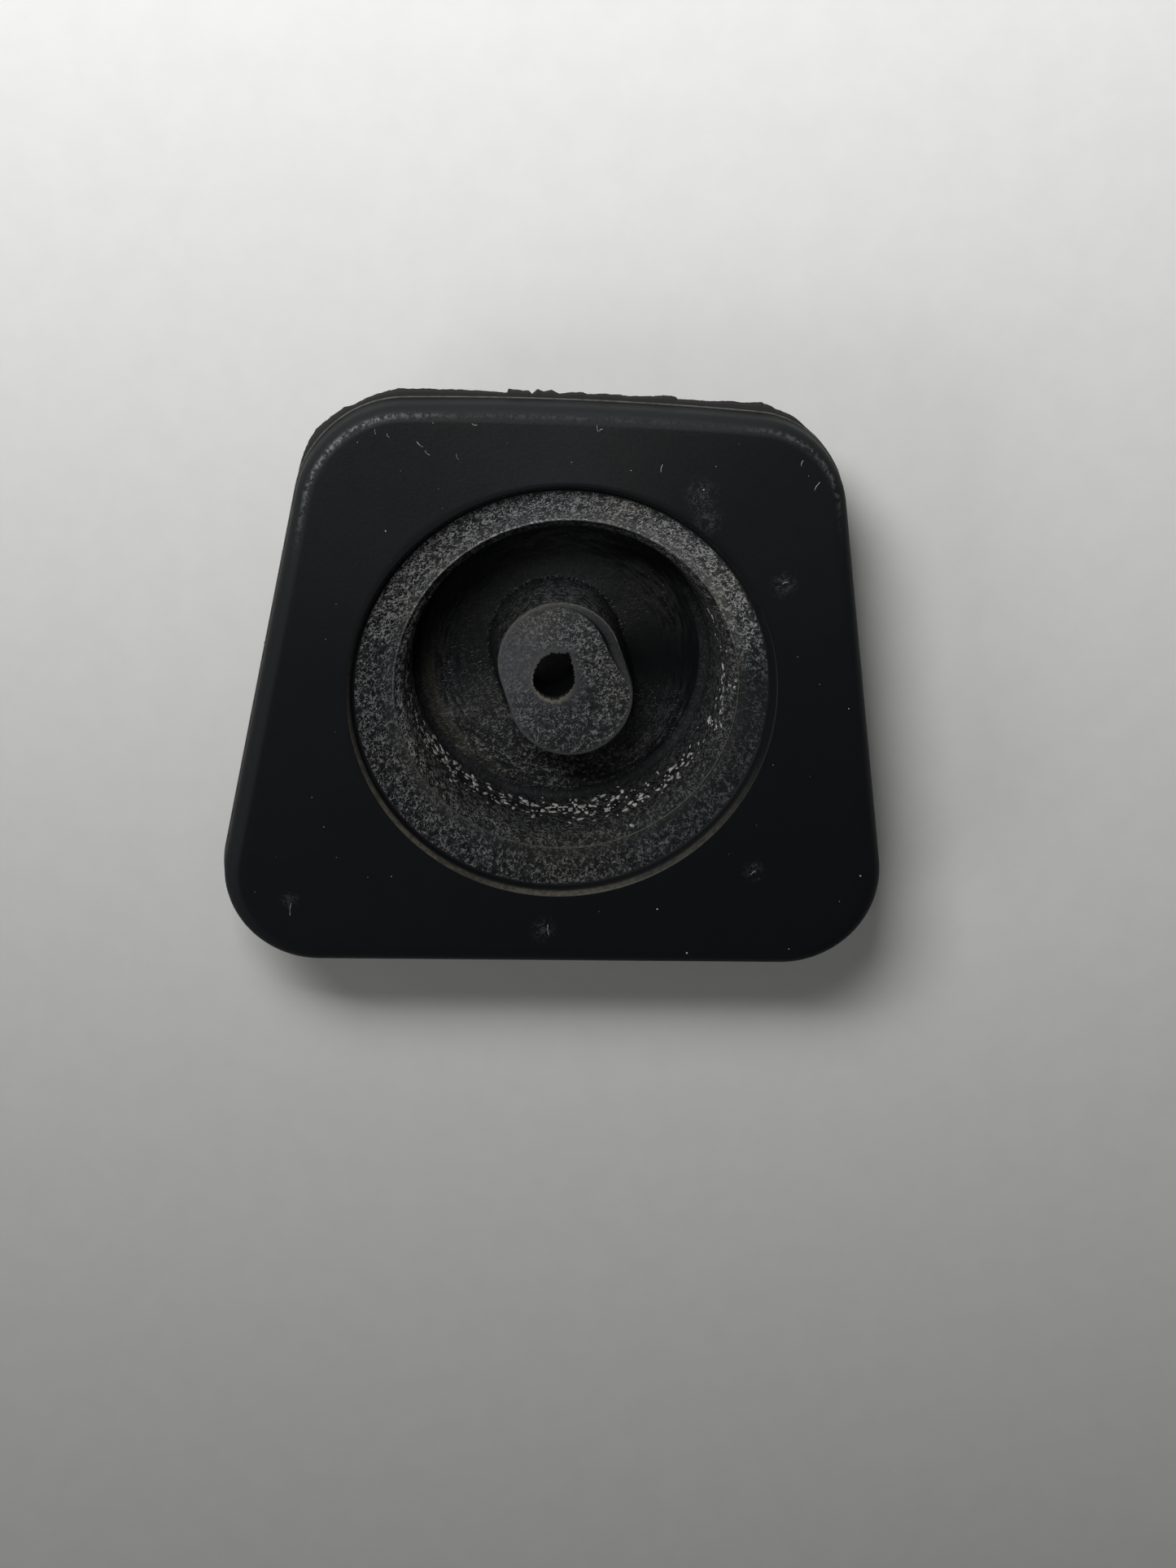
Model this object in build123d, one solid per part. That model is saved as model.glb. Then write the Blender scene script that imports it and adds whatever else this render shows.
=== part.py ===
from build123d import *
import math
import os

# Rubber grommet, moulded in one piece, in millimetres.
# The origin is on the sleeve's standing face, under the centre of the round recess.
# +Z points out of the open face, and +Y to the flange's narrow side.
# Depths are measured down from the flange's top face.

# Flange, a four-sided plate: the corners before rounding, their radii, and the narrow side's bow
flange_top = 17.8
flange_narrow_right = (32.05, 34.2)
flange_narrow_left = (-31.05, 35.17)
flange_wide_left = (-43.48, -35.96)
flange_wide_right = (43.31, -35.69)
flange_narrow_right_round = 11.1
flange_narrow_left_round = 12.7
flange_wide_left_round = 11.9
flange_wide_right_round = 12.1
flange_bow = 1.18
flange_thickness = 5.5
flange_roll = 2.0
flange_lower_chamfer = 0.4

# Round recess in the open face, with a short leaning step
recess_radius = 26.4
recess_step_depth = 1.6
recess_step_run = 0.6

# Land and funnel, whose axis sits a little to the +X side of the recess
sleeve_offset = 0.7
ridge_radius = 21.4
ridge_drop = 2.05
shoulder_run = 1.2
shoulder_drop = 1.3
shoulder_round = 2.5
wall_run = 1.5
valley_depth = 15.2
valley_corner = 0.8

# Neck below the flange, with a groove for the panel and a tapered bead
neck_wall = 0.5
groove_width = 3.0
bead_height = 1.9
bead_land = 0.8
foot_taper = 1.1
foot_corner = 1.0

# Boss in the middle: the hull of two circles gives its uneven outline
boss_top_depth = 6.0
boss_chamfer = 0.7
boss_flare = 4.0
boss_near_center = (-0.1, 2.3)
boss_near_radius = 7.65
boss_far_center = (1.5, -2.1)
boss_far_radius = 7.75

# Cable hole through the boss, with a tapered pocket under it
hole_center = (-0.75, 0.4)
hole_radius = 2.6
hole_length = 6.5
pocket_top_radius = 4.0
pocket_foot_radius = 6.0

# How far a cutter runs past the face that it opens
overrun = 1.0

flange_underside = flange_top - flange_thickness
boss_top = flange_top - boss_top_depth
pocket_top = boss_top - hole_length
valley_floor = flange_top - valley_depth
step_foot = flange_top - recess_step_depth
step_foot_radius = recess_radius - recess_step_run
valley_radius = ridge_radius - shoulder_run - wall_run
neck_radius = ridge_radius + neck_wall
bead_radius = neck_radius + bead_height
foot_radius = neck_radius - foot_taper


def flange_outline():
    """Flange outline: straight on three sides, bowed on the narrow side."""
    crown_x = (flange_narrow_left[0] + flange_narrow_right[0]) / 2
    crown_y = (flange_narrow_left[1] + flange_narrow_right[1]) / 2 + flange_bow
    sides = [
        ThreePointArc(flange_narrow_left, (crown_x, crown_y), flange_narrow_right),
        Line(flange_narrow_right, flange_wide_right),
        Line(flange_wide_right, flange_wide_left),
        Line(flange_wide_left, flange_narrow_left),
    ]
    rounds = [
        (flange_narrow_right, flange_narrow_right_round),
        (flange_narrow_left, flange_narrow_left_round),
        (flange_wide_left, flange_wide_left_round),
        (flange_wide_right, flange_wide_right_round),
    ]
    outline = make_face(sides)
    for corner, radius in rounds:
        outline = fillet(outline.vertices().sort_by_distance((*corner, 0))[0], radius)
    return outline


def make_flange():
    """Solid plate with a rolled upper edge and a small lower chamfer."""
    plate = Pos(0, 0, flange_underside) * extrude(flange_outline(), flange_thickness)
    plate = fillet(plate.faces().sort_by(Axis.Z)[-1].edges(), flange_roll)
    return chamfer(plate.faces().sort_by(Axis.Z)[0].edges(), flange_lower_chamfer)


def turned(points, offset, rounds=()):
    """Solid of revolution from radius and height points, with rounded corners by index."""
    profile = make_face(Polyline(*points, close=True))
    for index, radius in rounds:
        corner = profile.vertices().sort_by_distance((*points[index], 0))[0]
        profile = fillet(corner, radius)
    return Pos(offset, 0, 0) * revolve(Plane.XZ * profile, Axis.Z)


def make_neck():
    """Outside of the sleeve: panel groove, bead and foot."""
    bead_top = flange_underside - groove_width
    points = [
        (0, 0),
        (foot_radius, 0),
        (bead_radius, bead_top - bead_land),
        (bead_radius, bead_top),
        (neck_radius, bead_top),
        (neck_radius, flange_underside + flange_lower_chamfer),
        (0, flange_underside + flange_lower_chamfer),
    ]
    return turned(points, sleeve_offset, [(1, foot_corner)])


def recess_cutter():
    """Round recess down to the foot of its leaning step."""
    points = [
        (0, flange_top + overrun),
        (recess_radius, flange_top + overrun),
        (recess_radius, flange_top),
        (step_foot_radius, step_foot),
        (0, step_foot),
    ]
    return turned(points, 0)


def funnel_cutter():
    """Dipping land, ridge, rounded shoulder, sleeve wall and valley floor."""
    land_radius = step_foot_radius - sleeve_offset
    ridge = (ridge_radius, step_foot - ridge_drop)
    shoulder = (ridge[0] - shoulder_run, ridge[1] - shoulder_drop)
    points = [
        (0, step_foot + overrun),
        (land_radius, step_foot + overrun),
        (land_radius, step_foot),
        ridge,
        shoulder,
        (valley_radius, valley_floor),
        (0, valley_floor),
    ]
    return turned(points, sleeve_offset, [(4, shoulder_round), (5, valley_corner)])


def make_boss():
    """Flared boss, standing from the valley floor, with a chamfered rim."""
    near = Pos(*boss_near_center) * Circle(boss_near_radius)
    far = Pos(*boss_far_center) * Circle(boss_far_radius)
    outline = make_hull([*near.edges(), *far.edges()])
    height = boss_top - valley_floor / 2
    boss = extrude(Pos(0, 0, boss_top) * outline, -height, taper=-boss_flare)
    return chamfer(boss.faces().sort_by(Axis.Z)[-1].edges(), boss_chamfer)


def hole_cutter():
    """Cable hole, and the tapered pocket that opens it to the underside."""
    x, y = hole_center
    hole_height = hole_length + 2 * overrun
    hole = Pos(x, y, boss_top + overrun - hole_height / 2) * Cylinder(hole_radius, hole_height)
    slope = (pocket_foot_radius - pocket_top_radius) / pocket_top
    mouth_radius = pocket_foot_radius + slope * overrun
    pocket_height = pocket_top + overrun
    pocket = Cone(mouth_radius, pocket_top_radius, pocket_height)
    return hole + Pos(x, y, pocket_height / 2 - overrun) * pocket


def make_grommet():
    """The whole moulding as one solid."""
    body = make_flange() + make_neck()
    body = body - recess_cutter() - funnel_cutter()
    body = body + make_boss()
    return body - hole_cutter()


os.makedirs("parts", exist_ok=True)
export_step(make_grommet(), "parts/grommet.step")
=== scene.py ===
import math

import bpy
import numpy as np
from mathutils import Matrix, Vector


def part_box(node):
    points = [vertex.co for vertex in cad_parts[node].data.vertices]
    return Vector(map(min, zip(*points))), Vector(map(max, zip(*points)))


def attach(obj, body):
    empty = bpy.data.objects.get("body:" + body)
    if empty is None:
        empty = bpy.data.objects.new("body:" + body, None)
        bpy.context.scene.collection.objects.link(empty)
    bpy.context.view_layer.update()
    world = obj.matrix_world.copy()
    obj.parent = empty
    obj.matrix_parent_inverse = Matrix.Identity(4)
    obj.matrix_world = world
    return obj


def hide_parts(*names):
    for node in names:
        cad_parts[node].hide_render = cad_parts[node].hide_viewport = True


bl_info = {
    "name": "Rubber Grommet",
    "version": (1, 0, 0),
    "blender": (4, 5, 0),
    "location": "3D View > Sidebar > Grommet",
    "description": "Builds a worn moulded rubber grommet round its solid frame, with a plain studio",
    "category": "Add Mesh",
}

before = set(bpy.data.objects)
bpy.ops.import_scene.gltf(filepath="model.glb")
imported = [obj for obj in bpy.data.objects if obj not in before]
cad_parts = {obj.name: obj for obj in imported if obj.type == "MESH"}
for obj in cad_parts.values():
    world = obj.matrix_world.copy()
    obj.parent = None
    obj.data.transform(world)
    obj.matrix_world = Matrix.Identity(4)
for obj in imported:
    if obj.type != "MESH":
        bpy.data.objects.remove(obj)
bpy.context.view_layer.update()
FACE_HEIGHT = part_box("grommet")[1].z

MM = 0.001
TAU = 2 * math.pi

# Points in each ring of the moulding, their angles, and the directions they lie in
TURNS = 450
ANGLES = np.arange(TURNS) * TAU / TURNS
SPOKES = np.stack([np.cos(ANGLES), np.sin(ANGLES)], axis=1)

# How far inside the sleeve wall's foot the valley floor's own rings end
VALLEY_EDGE = 1.2 * MM


def length(name, description, millimetres):
    """A size property whose default is given in millimetres."""
    return bpy.props.FloatProperty(
        name=name, description=description, default=millimetres * MM, precision=5, unit="LENGTH"
    )


def angle(name, description, degrees):
    """An angle property whose default is given in degrees."""
    return bpy.props.FloatProperty(
        name=name, description=description, default=math.radians(degrees), subtype="ANGLE"
    )


def place(name, description, x, y):
    """A place on the face, from the recess's centre, given in millimetres."""
    default = (x * MM, y * MM)
    return bpy.props.FloatVectorProperty(
        name=name, description=description, default=default, size=2, subtype="XYZ", unit="LENGTH"
    )


def colour(name, description, *default):
    """A colour property with its default in linear light."""
    return bpy.props.FloatVectorProperty(
        name=name, description=description, default=default, min=0.0, max=1.0, subtype="COLOR"
    )


class GrommetFlangeSizes(bpy.types.PropertyGroup):
    """Sizes of the four-sided flange"""

    narrow_right: place("Narrow right", "Right corner of the narrow side, before rounding", 32.05, 34.2)
    narrow_left: place("Narrow left", "Left corner of the narrow side, before rounding", -31.05, 35.17)
    wide_left: place("Wide left", "Left corner of the wide side, before rounding", -43.48, -35.96)
    wide_right: place("Wide right", "Right corner of the wide side, before rounding", 43.31, -35.69)
    narrow_right_round: length("Narrow right radius", "Radius of that corner", 11.1)
    narrow_left_round: length("Narrow left radius", "Radius of that corner", 12.7)
    wide_left_round: length("Wide left radius", "Radius of that corner", 11.9)
    wide_right_round: length("Wide right radius", "Radius of that corner", 12.1)
    bow: length("Bow", "How far the narrow side bows out in its middle", 1.18)
    thickness: length("Thickness", "From the top face to the underside", 5.5)
    roll: length("Rolled edge", "Radius of the upper edge", 2.0)
    lower_chamfer: length("Lower chamfer", "Chamfer of the lower edge", 0.4)
    parting: length("Parting line", "How far the parting line stands proud", 0.16)
    flash_root: length("Flash root", "How far inside the edge the flash starts", 0.35)
    flash_thickness: length("Flash thickness", "Thickness of the flash at its root", 0.24)


class GrommetRecessSizes(bpy.types.PropertyGroup):
    """Sizes of the round recess, the funnel and the valley"""

    radius: length("Recess radius", "Radius of the recess at the top face", 26.4)
    step_depth: length("Step depth", "Height of the step round the recess", 1.6)
    step_run: length("Step run", "How far the step leans in", 0.6)
    offset: length("Sleeve offset", "From the recess's centre to the sleeve's axis", 0.7)
    ridge_radius: length("Ridge radius", "Radius of the ridge between land and funnel", 21.4)
    ridge_drop: length("Ridge drop", "From the step's foot down to the ridge", 2.05)
    shoulder_run: length("Shoulder run", "From the ridge in to the wall's head", 1.2)
    shoulder_drop: length("Shoulder drop", "From the ridge down to the wall's head", 1.3)
    shoulder_round: length("Shoulder radius", "Radius that rounds the wall's head", 2.5)
    wall_run: length("Wall run", "How far the sleeve wall leans in", 1.5)
    valley_depth: length("Valley depth", "From the top face to the valley floor", 15.2)
    valley_corner: length("Valley corner", "Radius at the foot of the sleeve wall", 0.8)


class GrommetBossSizes(bpy.types.PropertyGroup):
    """Sizes of the boss and its cable hole"""

    top_depth: length("Boss depth", "From the top face down to the boss", 6.0)
    chamfer: length("Rim drop", "Height of the worn rim round the boss's face", 0.7)
    flare: angle("Flare", "Lean of the boss's flank", 4.0)
    near_centre: place("Near centre", "Centre of the lobe at the narrow side", -0.1, 2.3)
    near_radius: length("Near radius", "Radius of the lobe at the narrow side", 7.65)
    far_centre: place("Far centre", "Centre of the lobe at the wide side", 1.5, -2.1)
    far_radius: length("Far radius", "Radius of the lobe at the wide side", 7.75)
    hole_centre: place("Hole centre", "Centre of the cable hole", -0.75, 0.4)
    hole_radius: length("Hole radius", "Radius of the cable hole", 2.6)
    hole_length: length("Hole length", "Length of the cable hole", 6.5)
    tear_depth: length("Tear depth", "How far down the hole's torn rim reaches", 2.2)
    pocket_top: length("Pocket top", "Radius of the pocket below the hole", 4.0)
    pocket_mouth: length("Pocket mouth", "Radius of the pocket at the foot", 6.0)


class GrommetNeckSizes(bpy.types.PropertyGroup):
    """Sizes of the neck below the flange"""

    wall: length("Neck wall", "From the ridge out to the groove", 0.5)
    groove: length("Groove", "Width of the panel groove", 3.0)
    bead: length("Bead", "How far the bead stands out of the groove", 1.9)
    bead_land: length("Bead land", "Height of the bead's straight rim", 0.8)
    taper: length("Taper", "From the groove's radius in to the foot's", 1.1)
    foot_corner: length("Foot corner", "Radius at the foot's edge", 1.0)


class GrommetFinish(bpy.types.PropertyGroup):
    """Colours of the rubber, of what lies on it and of the floor"""

    rubber: colour("Rubber", "Clean black rubber", 0.0030, 0.0034, 0.0038)
    # The two bloom colours also carry the painted light and shade that the bloom mark holds
    cool: colour("Cool bloom", "Grey dusty bloom, on the bluish side", 0.294, 0.297, 0.306)
    warm: colour("Warm bloom", "Grey dusty bloom, on the brownish side", 0.300, 0.293, 0.272)
    # The scuff colour also paints the dotted highlights that the wear mark holds
    scuff: colour("Scuffs", "Pale scuffed flecks", 0.36, 0.355, 0.345)
    # The torn colour also paints highlights and lit walls: the ridge's crest, the boss's rim line, the
    # parting line, and the walls of the step and the hole that face the lamp
    torn: colour("Torn rubber", "Pale torn rim of the hole and of the step", 0.135, 0.124, 0.098)
    flake: colour("Flakes", "Crumbs of rubber dust on the sleeve wall", 0.44, 0.43, 0.41)
    dust: colour("Dust", "White dust on the flange", 0.62, 0.61, 0.60)
    floor: colour("Floor", "Pale floor", 0.80, 0.80, 0.784)


class GrommetView(bpy.types.PropertyGroup):
    """The camera's place over the top face"""

    tilt: angle("Tilt", "Lean to the narrow side", 20.0)
    swing: angle("Swing", "Lean to the left", -4.7)
    roll: angle("Roll", "Turn about the line of sight", 0.9)
    aside: length("Aside", "From the line of sight to the face's centre", -3.06)
    above: length("Above", "From the face's centre up to the line of sight", -10.77)
    distance: length("Distance", "From the camera to the face", 398.92)
    lens: bpy.props.FloatProperty(
        name="Lens",
        description="Focal length for a sensor 24 mm high",
        default=49.82,
        subtype="DISTANCE_CAMERA",
    )


GROUPS = {
    "grommet_flange": GrommetFlangeSizes,
    "grommet_recess": GrommetRecessSizes,
    "grommet_boss": GrommetBossSizes,
    "grommet_neck": GrommetNeckSizes,
    "grommet_finish": GrommetFinish,
    "grommet_view": GrommetView,
}


class Value:
    """A socket on which Python's operators add Math nodes."""

    def __init__(self, nodes, socket):
        self.nodes = nodes
        self.socket = socket

    def math(self, operation, *numbers):
        """One Math node on numbers, this value among them."""
        return self.nodes.node("ShaderNodeMath", numbers, operation=operation)

    def __add__(self, other):
        return self.math("ADD", self, other)

    def __sub__(self, other):
        return self.math("SUBTRACT", self, other)

    def __rsub__(self, other):
        return self.math("SUBTRACT", other, self)

    def __mul__(self, other):
        return self.math("MULTIPLY", self, other)

    def __truediv__(self, other):
        return self.math("DIVIDE", self, other)

    def __rtruediv__(self, other):
        return self.math("DIVIDE", other, self)

    def __pow__(self, other):
        return self.math("POWER", self, other)

    def __abs__(self):
        return self.math("ABSOLUTE", self)

    __radd__ = __add__
    __rmul__ = __mul__


class Nodes:
    """A node tree whose nodes all come from one method."""

    def __init__(self, tree):
        self.tree = tree

    def node(self, kind, inputs=(), output=0, **settings):
        """Adds a node: its settings first, then its inputs by number or name."""
        made = self.tree.nodes.new(kind)
        for name, setting in settings.items():
            setattr(made, name, setting)
        pairs = inputs.items() if isinstance(inputs, dict) else enumerate(inputs)
        for key, value in pairs:
            self.fill(made.inputs[key], value)
        return Value(self, made.outputs[output])

    def fill(self, socket, value):
        """Links a value to a socket, or sets the socket's own number."""
        if isinstance(value, Value):
            self.tree.links.new(value.socket, socket)
        else:
            socket.default_value = value

    def vector(self, operation, *values, output=0):
        """One Vector Math node."""
        return self.node("ShaderNodeVectorMath", values, output, operation=operation)

    def scaled(self, vector, scale):
        """A vector times a number."""
        inputs = {0: vector, "Scale": scale}
        return self.node("ShaderNodeVectorMath", inputs, operation="SCALE")

    def xyz(self, *numbers):
        """A vector from three numbers."""
        return self.node("ShaderNodeCombineXYZ", numbers)

    def noise(self, where, size, detail, roughness, seed, swirl=0.0):
        """Noise of about 0 to 1 whose lumps are size metres across."""
        inputs = {
            "Vector": where,
            "W": seed,
            "Scale": 1.0 / size,
            "Detail": detail,
            "Roughness": roughness,
            "Distortion": swirl,
        }
        return self.node("ShaderNodeTexNoise", inputs, noise_dimensions="4D")

    def rise(self, value, low, high, start=0.0, end=1.0):
        """A smooth change from start to end as value goes from low to high."""
        inputs = (value, low, high, start, end)
        return self.node("ShaderNodeMapRange", inputs, interpolation_type="SMOOTHSTEP")


class Finish(Nodes):
    """A material's nodes."""

    def __init__(self, name):
        self.material = bpy.data.materials.new(name)
        self.material.use_nodes = True
        super().__init__(self.material.node_tree)
        self.surface = self.tree.nodes["Principled BSDF"]
        self.where = self.node("ShaderNodeTexCoord", output="Object")

    def set(self, **inputs):
        """Fills the surface's inputs, whose names here have underscores for spaces."""
        for name, value in inputs.items():
            self.fill(self.surface.inputs[name.replace("_", " ")], value)

    def stored(self, name):
        """A number that the mesh keeps at its points."""
        settings = {"attribute_type": "GEOMETRY", "attribute_name": name}
        return self.node("ShaderNodeAttribute", output="Fac", **settings)

    def mix(self, factor, first, second):
        """Mixes two colours."""
        first, second = (
            each if isinstance(each, Value) else (each[0], each[1], each[2], 1.0)
            for each in (first, second)
        )
        inputs = {0: factor, 6: first, 7: second}
        return self.node("ShaderNodeMix", inputs, 2, data_type="RGBA")

    def streaks(self, centre, width, reach, seed):
        """Noise drawn out along circles round a centre: width across them, reach along them."""
        usual_radius = 20 * MM
        aside = self.vector("SUBTRACT", self.where, (centre[0], centre[1], 0))
        level = self.vector("MULTIPLY", aside, (1, 1, 0))
        radius = self.vector("LENGTH", level, output="Value")
        along = self.scaled(self.vector("NORMALIZE", level), usual_radius * width / reach)
        up = self.vector("MULTIPLY", self.where, (0, 0, 1))
        outward = self.vector("ADD", self.xyz(0.0, 0.0, radius), up)
        path = self.vector("ADD", along, outward)
        return self.noise(path, width, 3.0, 0.6, seed)

    def strands(self, size, width, seed):
        """Short curled lines of 0 to 1 that lie about size metres apart."""
        field = self.noise(self.where, size, 1.0, 0.5, seed, 0.9) - 0.5
        line = self.rise(abs(field), 0.0, width, 1.0, 0.0)
        breaks = self.noise(self.where, 1.3 * size, 1.0, 0.5, seed + 9)
        return line * self.rise(breaks, 0.36, 0.52)

    def patch(self, x, y, reach):
        """1 at a place on the face, given in millimetres, and 0 from reach away."""
        aside = self.vector("SUBTRACT", self.where, (x * MM, y * MM, FACE_HEIGHT))
        away = self.vector("LENGTH", aside, output="Value")
        return self.rise(away, 0.0, reach * MM, 1.0, 0.0)

    def bump(self, height, depth, strength):
        """A normal from a height, of which 1 stands for depth metres."""
        inputs = {"Strength": strength, "Distance": depth, "Height": height}
        return self.node("ShaderNodeBump", inputs)


class Growth(Nodes):
    """A geometry tree with named inputs, used once as a modifier and then applied."""

    KINDS = {
        float: "NodeSocketFloat",
        int: "NodeSocketInt",
        bpy.types.Object: "NodeSocketObject",
        bpy.types.Material: "NodeSocketMaterial",
    }

    def __init__(self, name, material, inputs):
        super().__init__(bpy.data.node_groups.new(name, "GeometryNodeTree"))
        face = self.tree.interface
        face.new_socket("Geometry", in_out="INPUT", socket_type="NodeSocketGeometry")
        face.new_socket("Geometry", in_out="OUTPUT", socket_type="NodeSocketGeometry")
        self.settings = {}
        for label, value in {**inputs, "Material": material}.items():
            kind = self.KINDS[type(value)]
            socket = face.new_socket(label, in_out="INPUT", socket_type=kind)
            self.settings[socket.identifier] = value
        self.entry = self.tree.nodes.new("NodeGroupInput")
        self.exit = self.tree.nodes.new("NodeGroupOutput")
        self.geometry = self.input("Geometry")

    def input(self, label):
        """The tree's own input of that name."""
        return Value(self, self.entry.outputs[label])

    def stored(self, name, kind="FLOAT"):
        """What the mesh keeps at its points under a name."""
        return self.node("GeometryNodeInputNamedAttribute", {"Name": name}, data_type=kind)

    def counted(self, where, label):
        """A place counted in steps of one of the tree's inputs."""
        step = self.input(label)
        return self.vector("DIVIDE", where, self.xyz(step, step, step))

    def random(self, seed):
        """A different number from 0 to 1 at each point."""
        inputs = {2: 0.0, 3: 1.0, "Seed": seed}
        return self.node("FunctionNodeRandomValue", inputs, 1, data_type="FLOAT")

    def move(self, geometry, offset):
        """Moves the geometry's points by an offset."""
        return self.node("GeometryNodeSetPosition", {"Geometry": geometry, "Offset": offset})

    def finish(self, geometry):
        """Ends the tree with plain geometry that has its material."""
        plain = self.node("GeometryNodeRealizeInstances", {"Geometry": geometry})
        inputs = {"Geometry": plain, "Material": self.input("Material")}
        dressed = self.node("GeometryNodeSetMaterial", inputs)
        self.tree.links.new(dressed.socket, self.exit.inputs[0])

    def apply(self, piece):
        """Runs the tree on a piece and keeps the result as its mesh."""
        modifier = piece.modifiers.new(self.tree.name, "NODES")
        modifier.node_group = self.tree
        for identifier, value in self.settings.items():
            modifier[identifier] = value
        view = bpy.context.evaluated_depsgraph_get()
        grown = bpy.data.meshes.new_from_object(
            piece.evaluated_get(view), preserve_all_data_layers=True, depsgraph=view
        )
        piece.modifiers.remove(modifier)
        old = piece.data
        piece.data = grown
        bpy.data.meshes.remove(old)
        grown.name = piece.name


def new_piece(name, points, faces):
    """A smooth mesh object at the origin, in metres."""
    mesh = bpy.data.meshes.new(name)
    mesh.from_pydata([tuple(point) for point in points], [], [tuple(face) for face in faces])
    mesh.polygons.foreach_set("use_smooth", [True] * len(mesh.polygons))
    piece = bpy.data.objects.new(name, mesh)
    bpy.context.scene.collection.objects.link(piece)
    return piece


def keep(mesh, name, values):
    """Stores one number, or one vector, at each point of a mesh."""
    values = np.asarray(values, np.float32)
    kind, field = ("FLOAT", "value") if values.ndim == 1 else ("FLOAT_VECTOR", "vector")
    layer = mesh.attributes.new(name, kind, "POINT")
    layer.data.foreach_set(field, values.ravel())


def skin_faces(rings, points, closed):
    """Faces between rings of points that follow one another, in a closed loop or an open run."""
    first = np.arange(rings if closed else rings - 1)[:, None] * points
    following = (first + points) % (rings * points)
    here = np.arange(points)
    beside = (here + 1) % points
    quads = (first + here, following + here, following + beside, first + beside)
    return np.stack(quads, axis=2).reshape(-1, 4)


def settle(piece):
    """Makes a finished piece part of the grommet."""
    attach(piece, "root")


def smooth(value, low, high):
    """A smooth rise from 0 to 1 between low and high."""
    share = np.clip((value - low) / (high - low), 0, 1)
    return share * share * (3 - 2 * share)


def facing(middle, half, angles=ANGLES):
    """1 at a compass angle in degrees, 90 at the narrow side, and 0 from half degrees away."""
    away = np.abs((np.degrees(angles) - middle + 180) % 360 - 180)
    return 1 - smooth(away, 0, half)


def around(*levels):
    """Eight levels joined smoothly round a ring, from the right side on by the narrow side."""
    steps = ANGLES / TAU * 8
    first = np.floor(steps).astype(int) % 8
    share = smooth(steps % 1, 0, 1)
    levels = np.array(levels)
    return levels[first] * (1 - share) + levels[(first + 1) % 8] * share


def flange_path(sizes, inset):
    """The flange's rounded outline drawn in by inset, as a closed run of points."""
    names = ("narrow_right", "narrow_left", "wide_left", "wide_right")
    corners = [np.array(getattr(sizes, name)) for name in names]
    arc_points, side_points = 48, 160
    arcs = []
    for index, here in enumerate(corners):
        radius = getattr(sizes, names[index] + "_round")
        run_in = here - corners[index - 1]
        run_out = corners[(index + 1) % 4] - here
        side_in = np.array([run_in[1], -run_in[0]]) / np.linalg.norm(run_in)
        side_out = np.array([run_out[1], -run_out[0]]) / np.linalg.norm(run_out)
        centre = here - radius * (side_in + side_out) / (1 + side_in @ side_out)
        first = math.atan2(side_in[1], side_in[0])
        turn = (math.atan2(side_out[1], side_out[0]) - first) % TAU
        angles = first + turn * np.linspace(0, 1, arc_points)
        spokes = np.stack([np.cos(angles), np.sin(angles)], axis=1)
        arcs.append(centre + (radius - inset) * spokes)
    path = []
    for index, arc in enumerate(arcs):
        following = arcs[(index + 1) % 4][0]
        shares = np.linspace(0, 1, side_points)[1:-1, None]
        path.extend([arc, arc[-1] + (following - arc[-1]) * shares])
    path = np.vstack(path)
    middle = (sizes.narrow_right[0] + sizes.narrow_left[0]) / 2
    half = (sizes.narrow_right[0] - sizes.narrow_left[0]) / 2
    bowed = np.clip(1 - ((path[:, 0] - middle) / half) ** 2, 0, 1)
    path[:, 1] += sizes.bow * bowed * (path[:, 1] > 0)
    return path


def at_angles(path, angles):
    """Where rays from the middle at these angles cross a closed path."""
    turns = np.arctan2(path[:, 1], path[:, 0]) % TAU
    order = np.argsort(turns)
    reach = np.hypot(path[:, 0], path[:, 1])[order]
    radius = np.interp(angles, turns[order], reach, period=TAU)
    return np.stack([radius * np.cos(angles), radius * np.sin(angles)], axis=1)


def flange_ring(sizes, inset, angles=ANGLES):
    """Points on the flange's outline, drawn in by inset."""
    return at_angles(flange_path(sizes, inset), angles)


def round_ring(radius, centre=(0.0, 0.0)):
    """Points on a circle."""
    return np.array(centre) + radius * SPOKES


def boss_ring(sizes, growth):
    """Points on the boss's outline, which is the hull of its two lobes."""
    near, far = np.array(sizes.near_centre), np.array(sizes.far_centre)
    middle = (near + far) / 2
    reach = np.zeros(TURNS)
    for share in np.linspace(0, 1, 33):
        aside = near + (far - near) * share - middle
        radius = sizes.near_radius + (sizes.far_radius - sizes.near_radius) * share + growth
        along = SPOKES @ aside
        reach = np.maximum(reach, along + np.sqrt(radius**2 - aside @ aside + along**2))
    return middle + reach[:, None] * SPOKES


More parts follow.
